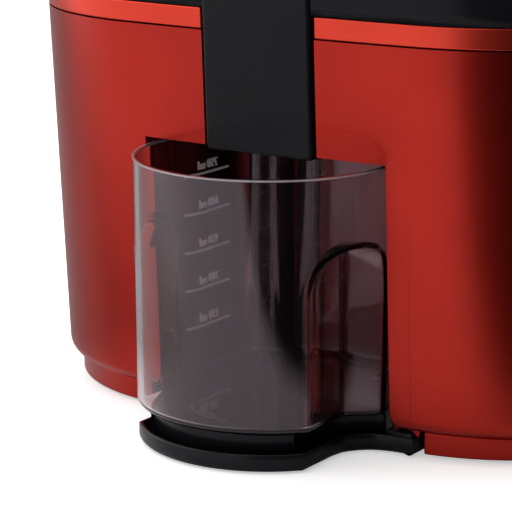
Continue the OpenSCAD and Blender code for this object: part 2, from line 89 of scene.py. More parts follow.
# Meshes.
def meshPiece(name, points, faces, finish, smooth=True):
    # points in millimetres, faces as rows of corner numbers
    mesh = bpy.data.meshes.new(name)
    mesh.from_pydata((np.asarray(points, float) * mm).tolist(), [], [list(map(int, f)) for f in faces])
    mesh.validate()
    mesh.polygons.foreach_set("use_smooth", np.full(len(mesh.polygons), smooth))
    piece = bpy.data.objects.new(name, mesh)
    bpy.context.scene.collection.objects.link(piece)
    mesh.materials.append(finish)
    return piece


def gridFaces(rows, cols, wrap=False, keep=None):
    # quads of a rows x cols grid; wrap joins the last column to the first; keep drops cells
    r, c = np.meshgrid(np.arange(rows - 1), np.arange(cols if wrap else cols - 1), indexing="ij")
    n = (c + 1) % cols
    quads = np.stack([r * cols + c, r * cols + n, (r + 1) * cols + n, (r + 1) * cols + c], axis=-1)
    return quads[keep] if keep is not None else quads.reshape(-1, 4)


def gridPiece(name, x, y, z, finish, wrap=False, keep=None, capFirst=False, capLast=False):
    # a surface given as three rows x cols arrays
    rows, cols = x.shape
    points = np.stack([x, y, z], axis=-1).reshape(-1, 3)
    faces = [list(f) for f in gridFaces(rows, cols, wrap, keep)]
    if capFirst:
        faces.append(list(range(cols))[::-1])
    if capLast:
        faces.append([(rows - 1) * cols + i for i in range(cols)])
    return meshPiece(name, points, faces, finish)


def finishShell(piece, thickness=0.0, bevel=0.0, segments=3, offset=-1.0, angle=35.0, even=True):
    # wall thickness, then rounded edges
    if thickness:
        wall = piece.modifiers.new("wall", "SOLIDIFY")
        wall.thickness = thickness * mm
        wall.offset = offset
        wall.use_even_offset = even
    if bevel:
        edge = piece.modifiers.new("edge", "BEVEL")
        edge.width = bevel * mm
        edge.segments = segments
        edge.limit_method = "ANGLE"
        edge.angle_limit = math.radians(angle)
        edge.harden_normals = True
    return piece


def lathe(name, profile, centre, finish, steps=96, axis="z", close=True):
    # profile [(radius, height)] turned about an axis: point = centre + radius*(cos a, sin a) + height*axis
    profile = np.array(profile, float)
    a = np.linspace(0, 2 * np.pi, steps, endpoint=False)
    r, h = profile[:, :1], profile[:, 1:]
    u, v, w = r * np.cos(a), r * np.sin(a), h + 0 * a
    x, y, z = {"z": (u, v, w), "x": (w, u, v), "y": (v, w, u)}[axis]
    return gridPiece(name, x + centre[0], y + centre[1], z + centre[2], finish, wrap=True,
                     capFirst=close, capLast=close)


def ringPiece(name, x, y, z, finish):
    # a closed band: rows run round its section, columns round the ring, and both join up
    rows, cols = x.shape
    r, c = np.meshgrid(np.arange(rows), np.arange(cols), indexing="ij")
    up, along = (r + 1) % rows, (c + 1) % cols
    quads = np.stack([r * cols + c, r * cols + along, up * cols + along, up * cols + c], axis=-1)
    return meshPiece(name, np.stack([x, y, z], axis=-1).reshape(-1, 3), quads.reshape(-1, 4), finish)


def turned(name, loop, centre, finish, steps=96, axis="z"):
    # a closed profile loop [(radius, height)] turned about an axis, a tube or a dish with a wall
    loop = np.array(loop, float)
    area = np.sum(loop[:, 0] * np.roll(loop[:, 1], -1) - np.roll(loop[:, 0], -1) * loop[:, 1])
    loop = loop if area > 0 else loop[::-1]
    a = np.linspace(0, 2 * np.pi, steps, endpoint=False)
    u, v, w = loop[:, :1] * np.cos(a), loop[:, :1] * np.sin(a), loop[:, 1:] + 0 * a
    x, y, z = {"z": (u, v, w), "x": (w, u, v), "y": (v, w, u)}[axis]
    return ringPiece(name, x + centre[0], y + centre[1], z + centre[2], finish)


def settle(piece, body, node=None):
    # which CAD node the piece stands in for, and the body it moves with
    if node:
        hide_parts(node)
    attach(piece, body)


def roundCorners(points, radius, steps=5, closed=True):
    # replaces each corner of an outline by an arc of at most the given radius
    p = np.array(points, float)
    n = len(p)
    radii = np.broadcast_to(np.asarray(radius, float), (n,))
    out = []
    for i in range(n):
        if not closed and i in (0, n - 1):
            out.append(p[i])
            continue
        a, b, c = p[i - 1], p[i], p[(i + 1) % n]
        u, v = (a - b) / np.linalg.norm(a - b), (c - b) / np.linalg.norm(c - b)
        half = 0.5 * math.acos(np.clip(u @ v, -1, 1))
        reach = min(radii[i] / max(math.tan(half), 1e-6), 0.49 * np.linalg.norm(a - b),
                    0.49 * np.linalg.norm(c - b))
        if reach < 1e-4 or half > 1.56:
            out.append(b)
            continue
        t = np.linspace(0, 1, steps + 1)[:, None]
        out.extend((1 - t) ** 2 * (b + u * reach) + 2 * t * (1 - t) * b + t ** 2 * (b + v * reach))
    return np.array(out)


def outlineNormals(p):
    # outward normals of a closed counter-clockwise outline
    d = np.roll(p, -1, axis=0) - np.roll(p, 1, axis=0)
    n = np.stack([d[:, 1], -d[:, 0]], axis=1)
    return n / np.linalg.norm(n, axis=1, keepdims=True)


def mouldedBlock(name, outline, steps, finish, axis="z", openBase=False):
    # an outline carried through [(inset, height)] steps: point = outline - inset*normal, at that height
    normal = outlineNormals(outline)
    steps = np.array(steps, float)
    u = outline[None, :, 0] - steps[:, :1] * normal[None, :, 0]
    v = outline[None, :, 1] - steps[:, :1] * normal[None, :, 1]
    w = steps[:, 1:] + 0 * u
    x, y, z = {"z": (u, v, w), "x": (w, u, v), "y": (v, w, u)}[axis]
    return gridPiece(name, x, y, z, finish, wrap=True, capFirst=not openBase, capLast=True)


def arcSteps(inset, height, radius, start, end, count=6):
    # part of a quarter round for mouldedBlock: (inset, height) is the arc's centre
    a = np.radians(np.linspace(start, end, count))
    return [(inset - radius * math.cos(t), height + radius * math.sin(t)) for t in a]


# Materials.
def newMaterial(name, look):
    # one shader with soft colour variation, a fine grain in roughness and a small bump
    material = bpy.data.materials.new(name)
    material.use_nodes = True
    nodes, links = material.node_tree.nodes, material.node_tree.links
    shader = nodes["Principled BSDF"]
    for socket, value in look.get("sockets", {}).items():
        shader.inputs[socket].default_value = value
    place = nodes.new("ShaderNodeTexCoord")
    stretch = nodes.new("ShaderNodeMapping")
    stretch.inputs["Scale"].default_value = look.get("stretch", (1, 1, 1))
    links.new(place.outputs["Object"], stretch.inputs["Vector"])
    broad = nodes.new("ShaderNodeTexNoise")
    broad.inputs["Scale"].default_value = look.get("broadScale", 18)
    broad.inputs["Detail"].default_value = 3
    links.new(stretch.outputs["Vector"], broad.inputs["Vector"])
    tint = nodes.new("ShaderNodeValToRGB")
    tint.color_ramp.elements[0].color = (*look["dark"], 1)
    tint.color_ramp.elements[1].color = (*look["light"], 1)
    tint.color_ramp.elements[0].position = 0.3
    tint.color_ramp.elements[1].position = 0.7
    links.new(broad.outputs["Fac"], tint.inputs["Fac"])
    links.new(tint.outputs["Color"], shader.inputs["Base Color"])
    fine = nodes.new("ShaderNodeTexNoise")
    fine.inputs["Scale"].default_value = look.get("fineScale", 900)
    fine.inputs["Detail"].default_value = 2
    links.new(stretch.outputs["Vector"], fine.inputs["Vector"])
    rough = nodes.new("ShaderNodeMapRange")
    rough.inputs["To Min"].default_value = look["rough"][0]
    rough.inputs["To Max"].default_value = look["rough"][1]
    links.new(fine.outputs["Fac"], rough.inputs["Value"])
    links.new(rough.outputs["Result"], shader.inputs["Roughness"])
    bump = nodes.new("ShaderNodeBump")
    bump.inputs["Strength"].default_value = look.get("bump", 0.05)
    bump.inputs["Distance"].default_value = look.get("bumpDepth", 0.0002)
    links.new(fine.outputs["Fac"], bump.inputs["Height"])
    links.new(bump.outputs["Normal"], shader.inputs["Normal"])
    return material


materialLooks = {
    "redLacquer": {"dark": (0.37, 0.015, 0.009), "light": (0.44, 0.020, 0.011), "rough": (0.26, 0.34),
                   "bump": 0.02, "fineScale": 2600, "sockets": {"Metallic": 0.92, "Coat Weight": 0.12,
                                                                "Coat Roughness": 0.03}},
    # painted shade: the red lacquer made darker for the recess walls, standing in for the shadow inside the
    # bay
    "paintedShadeRed": {"dark": (0.13, 0.005, 0.004), "light": (0.17, 0.007, 0.005), "rough": (0.34, 0.42),
                  "bump": 0.02, "fineScale": 2600, "sockets": {"Metallic": 0.85}},
    "trimRed": {"dark": (0.66, 0.045, 0.024), "light": (0.74, 0.055, 0.03), "rough": (0.28, 0.36),
                "bump": 0.02, "fineScale": 2600, "sockets": {"Metallic": 0.9, "Coat Weight": 0.1,
                                                             "Coat Roughness": 0.08}},
    "pianoBlack": {"dark": (0.009, 0.009, 0.011), "light": (0.013, 0.013, 0.016), "rough": (0.16, 0.24),
                   "bump": 0.015, "sockets": {"Specular IOR Level": 0.1}},
    "satinBlack": {"dark": (0.016, 0.016, 0.018), "light": (0.022, 0.022, 0.025), "rough": (0.3, 0.42),
                   "bump": 0.12, "fineScale": 1400},
    "trayBlack": {"dark": (0.006, 0.006, 0.008), "light": (0.009, 0.009, 0.011), "rough": (0.2, 0.3),
                  "bump": 0.03, "sockets": {"Specular IOR Level": 0.16}},
    "smokeClear": {"dark": (0.82, 0.74, 0.77), "light": (0.86, 0.79, 0.81), "rough": (0.01, 0.03),
                   "bump": 0.01, "sockets": {"Transmission Weight": 1.0, "IOR": 1.49,
                                             "Specular Tint": (1.0, 0.84, 0.92, 1.0)}},
    # a paler, half-clear plastic for the lip ring: a painted highlight, the light line along the rim
    "lipHighlightClear": {"dark": (0.78, 0.70, 0.74), "light": (0.84, 0.76, 0.80), "rough": (0.12, 0.2),
                  "bump": 0.02, "sockets": {"Transmission Weight": 0.4, "IOR": 1.49}},
    # frosted marks with a faint emission: a painted glow that lifts the marks out of the shade inside the jug
    "frostedGlowMark": {"dark": (0.80, 0.75, 0.78), "light": (0.88, 0.83, 0.86), "rough": (0.4, 0.55),
                    "bump": 0.1, "sockets": {"Emission Color": (1.0, 0.93, 0.97, 1.0),
                                             "Emission Strength": 0.065}},
    "rubberBlack": {"dark": (0.02, 0.02, 0.02), "light": (0.03, 0.03, 0.03), "rough": (0.65, 0.8),
                    "bump": 0.25},
    "brushedSteel": {"dark": (0.52, 0.52, 0.53), "light": (0.62, 0.62, 0.63), "rough": (0.2, 0.34),
                     "bump": 0.08, "stretch": (1, 30, 30), "sockets": {"Metallic": 1.0}},
    "castAlloy": {"dark": (0.42, 0.42, 0.43), "light": (0.55, 0.55, 0.56), "rough": (0.4, 0.55),
                  "bump": 0.3, "sockets": {"Metallic": 1.0}},
    "laminations": {"dark": (0.14, 0.14, 0.15), "light": (0.3, 0.3, 0.31), "rough": (0.35, 0.5),
                    "bump": 0.5, "stretch": (0.02, 0.02, 8), "sockets": {"Metallic": 0.9}},
    "copperWire": {"dark": (0.45, 0.16, 0.06), "light": (0.62, 0.26, 0.12), "rough": (0.25, 0.35),
                   "bump": 0.5, "stretch": (0.1, 0.1, 3), "sockets": {"Metallic": 0.9}},
    "brownResin": {"dark": (0.05, 0.03, 0.018), "light": (0.08, 0.045, 0.028), "rough": (0.4, 0.55),
                   "bump": 0.1},
    "carbonBlock": {"dark": (0.012, 0.012, 0.012), "light": (0.03, 0.03, 0.03), "rough": (0.5, 0.7),
                    "bump": 0.3},
    "boardGreen": {"dark": (0.01, 0.09, 0.03), "light": (0.02, 0.14, 0.05), "rough": (0.3, 0.45),
                   "bump": 0.1},
}
material = {name: newMaterial(name, look) for name, look in materialLooks.items()}

slotFinish = {"red_shell": "redLacquer", "bright_trim": "trimRed", "gloss_black": "pianoBlack",
              "matte_black": "satinBlack", "smoke_clear": "smokeClear", "soft_rubber": "rubberBlack",
              "bright_steel": "brushedSteel", "cast_alloy": "castAlloy", "laminated_steel": "laminations",
              "copper": "copperWire", "brown_resin": "brownResin", "carbon": "carbonBlock",
              "green_board": "boardGreen"}
for part in frame["record"]["subparts"]:
    node = frame["nodes"].get(part["node"])
    if node is None:
        continue
    for holder in [node, *node.children_recursive]:
        if holder.type == "MESH":
            for slot in holder.material_slots:
                slot.material = material[slotFinish[part["material_slot"]]]
print("materials made:", len(material))


# The body's outline.
def faceAt(z):
    return bodyShape["frontY"] - (z - bodyShape["rimZ"]) * bodyShape["lean"]


def bodyWrap(z, inset, startX, rightOnly=False, frontSteps=10):
    # The body's plan, from the front at startX round the right side to the back and, mirrored, to the front
    # again. Each stretch is an arc about its own centre with the inset taken off its radius.
    s = bodyShape
    z, inset, startX = [np.broadcast_to(np.asarray(v, float), np.shape(z))[:, None]
                        for v in (z, inset, startX)]
    a0 = math.asin(s["faceHalf"] / s["faceRadius"])
    turn = math.radians(s["cornerTurn"])
    cy = faceAt(z) + s["faceRadius"]
    grow = s["taper"] * (z - s["seamZ"])
    c1x = (s["faceRadius"] - s["cornerRadius"]) * math.sin(a0) + grow
    c1y = cy - (s["faceRadius"] - s["cornerRadius"]) * math.cos(a0)
    c2x = c1x + (s["cornerRadius"] - s["sideRadius"]) * math.sin(turn)
    c2y = c1y - (s["cornerRadius"] - s["sideRadius"]) * math.cos(turn)
    sideX = c2x + s["sideRadius"]
    c3x, c3y = sideX - s["rearRadius"], s["rearY"] - s["rearRadius"]
    t = np.linspace(0, 1, frontSteps + 1)[None, :-1]
    fx = startX + (s["faceHalf"] - startX) * t
    fy = cy - np.sqrt((s["faceRadius"] - inset) ** 2 - fx ** 2)
    parts = [(fx, fy)] if frontSteps else []
    if not frontSteps:
        a0 = math.asin((startX.max() - c1x.mean()) / (s["cornerRadius"] - inset.mean()))
    for cx, cyy, radius, begin, end, count in ((c1x, c1y, s["cornerRadius"], a0, turn, 30),
                                               (c2x, c2y, s["sideRadius"], turn, math.pi / 2, 16)):
        a = np.linspace(begin, end, count + 1)[None, :-1]
        parts.append((cx + (radius - inset) * np.sin(a), cyy - (radius - inset) * np.cos(a)))
    t = np.linspace(0, 1, 13)[None, :-1]
    parts.append((sideX - inset + 0 * t, c2y + (c3y - c2y) * t))
    a = np.linspace(0, math.pi / 2, 17)[None, :-1]
    parts.append((c3x + (s["rearRadius"] - inset) * np.cos(a), c3y + (s["rearRadius"] - inset) * np.sin(a)))
    t = np.linspace(0, 1, 11)[None, :]
    parts.append((c3x * (1 - t), s["rearY"] - inset + 0 * t))
    x = np.concatenate([np.broadcast_to(px, (z.shape[0], px.shape[1])) for px, py in parts], axis=1)
    y = np.concatenate([np.broadcast_to(py, (z.shape[0], py.shape[1])) for px, py in parts], axis=1)
    if not rightOnly:
        x = np.concatenate([x, -x[:, -2::-1]], axis=1)
        y = np.concatenate([y, y[:, -2::-1]], axis=1)
    return x, y, z + 0 * x


# Housing.
housing = {
    "lowZ": shellLow[2],
    "edgeRadius": 5.5,
    "wall": 2.8,
    "slotHalf": 25.5,       # opening left for the column
    "recessHalf": 55.0,
    "recessTop": 115.0,
    "footRadius": 8.0,      # round of the panels' lower corners
    "topRound": 0.7,
}


def makeHousing():
    h = housing
    low = np.radians(np.linspace(0, 90, 9))
    roundZ = h["lowZ"] + h["edgeRadius"] * (1 - np.cos(low))
    roundInset = h["edgeRadius"] * (1 - np.sin(low))
    z = np.concatenate([roundZ, np.linspace(roundZ[-1], h["recessTop"], 34)[1:],
                        np.linspace(h["recessTop"], shellHigh[2], 14)[1:]])
    inset = np.concatenate([roundInset, np.zeros(len(z) - len(roundInset))])
    up = np.clip(h["lowZ"] + h["footRadius"] - z, 0, h["footRadius"])
    footX = h["recessHalf"] + h["footRadius"] - np.sqrt(h["footRadius"] ** 2 - up ** 2)
    x, y, zz = bodyWrap(z, inset, footX)
    # columns of the two panels above the recess, added before and after the wrap
    panelX = np.linspace(h["slotHalf"], h["recessHalf"], 9)[None, :-1] + 0 * z[:, None]
    face = bodyShape["faceRadius"]
    panelY = faceAt(z)[:, None] + face - np.sqrt(face ** 2 - panelX ** 2)
    panelZ = z[:, None] + 0 * panelX
    x = np.concatenate([panelX, x, -panelX[:, ::-1]], axis=1)
    y = np.concatenate([panelY, y, panelY[:, ::-1]], axis=1)
    zz = np.concatenate([panelZ, zz, panelZ[:, ::-1]], axis=1)
    keep = np.ones((x.shape[0] - 1, x.shape[1] - 1), bool)
    below = z[1:] <= h["recessTop"] + 0.01
    n = panelX.shape[1]
    keep[np.ix_(below, range(n))] = False
    keep[np.ix_(below, range(x.shape[1] - 1 - n, x.shape[1] - 1))] = False
    piece = gridPiece("housingSkin", x, y, zz, material["redLacquer"], keep=keep)
    finishShell(piece, h["wall"], h["topRound"], 3, even=False)
    settle(piece, "housing", "housing_shell")


def makeBand(name, node, side, startX, z, inset, look, thickness, bevel):
    # a strip of the body's wall on one side, mirrored for the left
    x, y, zz = bodyWrap(np.array(z), np.array(inset), startX, rightOnly=True)
    piece = gridPiece(name, side * x, y, zz, material[look])
    if side < 0:
        piece.data.flip_normals()
    finishShell(piece, thickness, bevel, 3)
    settle(piece, "housing", node)


plinth = {"inset": 5.0, "startX": 66.4, "thickness": 3.0, "bevel": 0.8}


def makePlinth():
    # the body's plan drawn in, from beside the recess round the back to its other side
    p = plinth
    z = np.linspace(plinthLow[2], plinthHigh[2], 5)
    x, y, zz = bodyWrap(z, p["inset"] + 0 * z, p["startX"], frontSteps=0)
    piece = gridPiece("plinthSkin", x, y, zz, material["redLacquer"])
    finishShell(piece, p["thickness"], p["bevel"], 3)
    settle(piece, "housing", "foot_plinth")


makeHousing()
trim = {"low": bodyShape["seamZ"], "high": 168.7, "startX": 25.5, "thickness": 2.8, "bevel": 0.6}
for side, label in ((-1, "left"), (1, "right")):
    makeBand("trimBand_" + label, "trim_band_" + label, side, trim["startX"],
             np.linspace(trim["low"], trim["high"], 5), np.zeros(5), "trimRed",
             trim["thickness"], trim["bevel"])
makePlinth()
print("housing, trim and plinth made")

# Deck.
deck = {"lowZ": 169.0, "top": 200.0, "round": 9.0, "bowlHole": 85.2, "axisY": 4.0, "wellZ": 174.0,
        "edge": 1.2, "thickness": 1.2}


def makeDeck():
    # Side wall up from the trim, a quarter round, then the top closes from the plan onto the bowl's circle.
    d = deck
    high = d["top"]
    a = np.radians(np.linspace(0, 90, 10))
    z = np.concatenate([np.linspace(d["lowZ"], high - d["round"], 6),
                        (high - d["round"] + d["round"] * np.sin(a))[1:]])
    inset = np.concatenate([np.zeros(6), (d["round"] * (1 - np.cos(a)))[1:]])
    x, y, zz = bodyWrap(z, inset, 0.0)
    x, y, zz = x[:, :-1], y[:, :-1], zz[:, :-1]
    edgeX, edgeY = x[-1], y[-1] - d["axisY"]
    angle = np.arctan2(edgeY, edgeX)
    ringX, ringY = d["bowlHole"] * np.cos(angle), d["bowlHole"] * np.sin(angle)
    t = np.linspace(0, 1, 9)[1:, None]
    topX, topY = edgeX + (ringX - edgeX) * t, edgeY + (ringY - edgeY) * t + d["axisY"]
    wellX, wellY = [np.broadcast_to(v, (2, v.size)) for v in (ringX, ringY + d["axisY"])]
    wellZ = np.array([[high - d["edge"]], [d["wellZ"]]]) + 0 * wellX
    x = np.concatenate([x, topX, wellX])
    y = np.concatenate([y, topY, wellY])
    zz = np.concatenate([zz, high + 0 * topX, wellZ])
    piece = gridPiece("deckSkin", x, y, zz, material["pianoBlack"], wrap=True)
    finishShell(piece, d["thickness"], 0)
    settle(piece, "housing", "top_deck")


makeDeck()

# Front column.
column = {"half": 24.3, "lowZ": 113.6, "highZ": 196.0, "proud": 1.4, "deep": 5.0, "round": 2.2,
          "footRound": 1.4, "headRound": 2.0}


def makeColumn():
    # A slab that leans with the front face: an outline across, carried up along the lean.
    c = column
    outline = roundCorners([(-c["half"], -c["proud"]), (c["half"], -c["proud"]), (c["half"], c["deep"]),
                            (-c["half"], c["deep"])], [c["round"], c["round"], 0.5, 0.5], 6)
    normal = outlineNormals(outline)
    foot, head = c["footRound"], c["headRound"]
    steps = np.array(arcSteps(foot, c["lowZ"] + foot, foot, -90, 0, 6)
                     + [(0, h) for h in np.linspace(c["lowZ"] + 2, c["highZ"] - 2, 14)]
                     + arcSteps(head, c["highZ"] - head, head, 0, 90, 6))
    u = outline[None, :, 0] - steps[:, :1] * normal[None, :, 0]
    v = outline[None, :, 1] - steps[:, :1] * normal[None, :, 1]
    z = steps[:, 1:] + 0 * u
    piece = gridPiece("columnSkin", u, v + faceAt(z), z, material["pianoBlack"], wrap=True, capFirst=True,
                      capLast=True)
    settle(piece, "housing", "front_column")


makeColumn()
print("deck and column made")

# Jug.
jug = {
    "rim": 52.0, "taper": 1.0, "axisY": -113.0, "wall": 2.2,
    "halfWide": 48.0, "shoulderY": -57.0, "bulgeHalf": 30.0, "bulgeY": -44.0, "cornerRadius": 10.0,
    "gripHalf": 39.6, "gripFront": -147.0, "gripBack": -105.0, "gripTop": 69.0, "archRadius": 19.0,
    "gripBlend": 5.0, "backFrom": 4.0, "bulgeFrom": 20.0, "backBlend": 2.0, "bulgeBlend": 4.0,
    "slantFrom": 5.4, "slantRate": 0.85, "slantBlend": 3.0, "edgeBlend": 1.6,
    "centre": 8.0,          # how far behind the rim's axis the wall is measured from
    "baseRound": 3.0, "gripRowsFrom": 42.0, "gripRowsTo": 78.0, "columns": 260, "gripRows": 80,
}


def smoothMin(a, b, k):
    h = np.clip(0.5 + 0.5 * (b - a) / k, 0, 1)
    return b * (1 - h) + a * h - k * h * (1 - h)


def smoothMax(a, b, k):
    return -smoothMin(-a, -b, k)


def roundedBoxField(x, y, half, low, high, radius):
    # distance to a rounded rectangle: |x| < half, low < y < high
    qx = np.abs(x) - (half - radius)
    qy = np.abs(y - (low + high) / 2) - ((high - low) / 2 - radius)
    return np.hypot(np.maximum(qx, 0), np.maximum(qy, 0)) + np.minimum(np.maximum(qx, qy), 0) - radius


def jugField(x, y, h):
    # Distance to the jug's wall at height h above its base, negative inside: a round front and a boxy back
    # joined smoothly, less two finger grips whose outline is an arch.
    j = jug
    radius = j["rim"] - j["taper"] * (1 - h / (jugHigh[2] - jugLow[2]))
    circle = np.hypot(x, y - j["axisY"]) - radius
    back = roundedBoxField(x, y, j["halfWide"], j["axisY"] + j["backFrom"], j["shoulderY"], j["cornerRadius"])
    bulge = roundedBoxField(x, y, j["bulgeHalf"], j["axisY"] + j["bulgeFrom"], j["bulgeY"], j["cornerRadius"])
    body = smoothMin(smoothMin(circle, back, j["backBlend"]), bulge, j["bulgeBlend"])
    side = j["gripHalf"] - np.abs(x)
    rate = j["slantRate"]
    slant = (y - j["axisY"] + j["slantFrom"] - (np.abs(x) - j["gripHalf"]) * rate) / math.hypot(1, rate)
    archX = np.abs(y - (j["gripFront"] + j["gripBack"]) / 2) - (j["gripBack"] - j["gripFront"]) / 2
    cornerX = archX + j["archRadius"]
    cornerH = h - (j["gripTop"] - j["archRadius"])
    corner = np.minimum(np.maximum(cornerX, cornerH), 0)
    arch = np.hypot(np.maximum(cornerX, 0), np.maximum(cornerH, 0)) + corner - j["archRadius"]
    grip = smoothMax(smoothMax(side, slant, j["slantBlend"]), arch, j["gripBlend"])
    return smoothMax(body, -grip, j["edgeBlend"])


def jugWall(h, columns, drawIn=0.0):
    # Radius of the wall from a centre line in every direction: halving a step until the field is zero.
    a = np.linspace(0, 2 * np.pi, columns, endpoint=False)
    a = a - 0.10 * np.sin(2 * a)
    centreY = jug["axisY"] + jug["centre"]
    near = np.zeros((len(h), columns))
    far = near + 75.0
    hh = np.asarray(h)[:, None]
    for _ in range(22):
        mid = 0.5 * (near + far)
        inside = jugField(mid * np.cos(a), centreY + mid * np.sin(a), hh) < 0
        near, far = np.where(inside, mid, near), np.where(inside, far, mid)
    r = 0.5 * (near + far) - drawIn
    return r * np.cos(a), centreY + r * np.sin(a)


def makeJug():
    j = jug
    height = jugHigh[2] - jugLow[2]
    low, high = j["gripRowsFrom"], j["gripRowsTo"]
    h = np.concatenate([np.linspace(0, low, 16)[:-1], np.linspace(low, high, j["gripRows"]),
                        np.linspace(high, height, 14)[1:]])
    x, y = jugWall(h, j["columns"])
    z = jugLow[2] + h[:, None] + 0 * x
    # the base's rounded edge: the first rows draw in towards the middle as they go down
    centreY = j["axisY"] + j["centre"]
    a = np.radians(np.linspace(10, 90, 6))
    edge = j["baseRound"]
    baseX, baseY, baseZ = [], [], []
    reach = np.hypot(x[0], y[0] - centreY)
    for t in a:
        scale = (reach - edge * (1 - math.sin(t))) / reach
        baseX.append(x[0] * scale)
        baseY.append(centreY + (y[0] - centreY) * scale)
        baseZ.append(jugLow[2] + edge * (1 - math.cos(t)) + 0 * x[0])
    closeX, closeY, closeZ = [], [], []
    for t in (0.02, 0.35, 0.7):
        closeX.append(baseX[0] * t)
        closeY.append(centreY + (baseY[0] - centreY) * t)
        closeZ.append(jugLow[2] + 0 * x[0])
    start = np.searchsorted(h, edge + 0.5)
    x = np.concatenate([np.array(closeX + baseX), x[start:]])
    y = np.concatenate([np.array(closeY + baseY), y[start:]])
    z = np.concatenate([np.array(closeZ + baseZ), z[start:]])
    piece = gridPiece("jugBody", x, y, z, material["smokeClear"], wrap=True, capFirst=True)
    finishShell(piece, j["wall"], 0.6, 3, angle=50)
    settle(piece, "jug", "juice_jug")
    section = [(0.2, -0.7), (0.0, -0.5), (0.0, -0.2), (0.25, 0.0), (0.9, 0.0), (1.1, -0.2), (1.1, -0.5),
               (0.9, -0.7)]
    lipX, lipY = jugWall(np.full(len(section), height), j["columns"],
                         np.array([[inset] for inset, drop in section]))
    lipZ = np.array([[jugHigh[2] + drop] for inset, drop in section]) + 0 * lipX
    # the lip ring's paler finish paints the light line along the rim, a painted highlight
    settle(ringPiece("jugLip", lipX, lipY, lipZ, material["lipHighlightClear"]), "jug")


makeJug()

marks = {"lowest": 18.0, "spacing": 15.8, "count": 5, "from": -99.0, "to": -70.0, "tall": 0.9, "proud": 0.5,
         "firstNumber": 150, "step": 150, "digitTall": 3.5, "digitLift": 1.8, "digitY": -84.7,
         "fontPerTall": 1.4}


def sideWallX(y, h):
    # where the jug's left wall stands, found by halving a step
    near, far = np.full(np.shape(y), 30.0), np.full(np.shape(y), 60.0)
    for _ in range(20):
        mid = 0.5 * (near + far)
        inside = jugField(-mid, y, h) < 0
        near, far = np.where(inside, mid, near), np.where(inside, far, mid)
    return -0.5 * (near + far)


def makeMarks():
    # raised lines on the left wall, each with a plain number above it that reads from outside
    m = marks
    for i in range(m["count"]):
        h = m["lowest"] + i * m["spacing"]
        y = np.linspace(m["to"], m["from"], 16)
        wall = sideWallX(y, h)
        outer = np.stack([wall - m["proud"], y], axis=1)
        inner = np.stack([wall + m["proud"], y], axis=1)[::-1]
        z = jugLow[2] + h
        # lines and numbers take the faintly glowing frosted finish, a painted glow
        line = mouldedBlock("markLine_%d" % (i + 1), np.vstack([outer, inner]),
                            [(0.2, z - m["tall"] / 2), (0, z - 0.2), (0, z + 0.2), (0.2, z + m["tall"] / 2)],
                            material["frostedGlowMark"])
        settle(line, "jug")
        words = bpy.data.curves.new("number", "FONT")
        words.body = "%d ml" % (m["firstNumber"] + i * m["step"])
        words.size = m["digitTall"] * mm * m["fontPerTall"]
        words.align_x = "CENTER"
        words.extrude = m["proud"] * mm
        words.resolution_u = 3
        holder = bpy.data.objects.new("number", words)
        bpy.context.scene.collection.objects.link(holder)
        bpy.context.view_layer.update()
        drawn = bpy.data.meshes.new_from_object(holder.evaluated_get(bpy.context.evaluated_depsgraph_get()))
        build = bmesh.new()
        build.from_mesh(drawn)
        bmesh.ops.remove_doubles(build, verts=build.verts, dist=2e-6)
        bmesh.ops.recalc_face_normals(build, faces=build.faces)
        build.to_mesh(drawn)
        build.free()
        flat = np.array([v.co for v in drawn.vertices]) / mm
        faces = [list(f.vertices) for f in drawn.polygons]
        bpy.data.objects.remove(holder)
        bpy.data.meshes.remove(drawn)
        wall = sideWallX(np.array([m["digitY"]]), h)[0]
        points = np.stack([wall - flat[:, 2], m["digitY"] - flat[:, 0], z + m["digitLift"] + flat[:, 1]],
                          axis=1)
        settle(meshPiece("markNumber_%d" % (i + 1), points, faces, material["frostedGlowMark"], smooth=False),
               "jug")


makeMarks()
print("jug made")

# Recess.
recess = {"half": 55.0, "back": -52.0, "bulgeHalf": 34.0, "bulgeBack": -40.0, "round": 9.0, "low": 10.4,
          "top": 116.6, "stripFrom": -48.0, "stripTo": -20.0, "stripProud": 0.8, "thickness": 2.0,
          "stripSunk": 0.6, "frontInset": 3.5, "midZ": 60.0, "leanFrom": -72.0, "leanOver": 30.0}


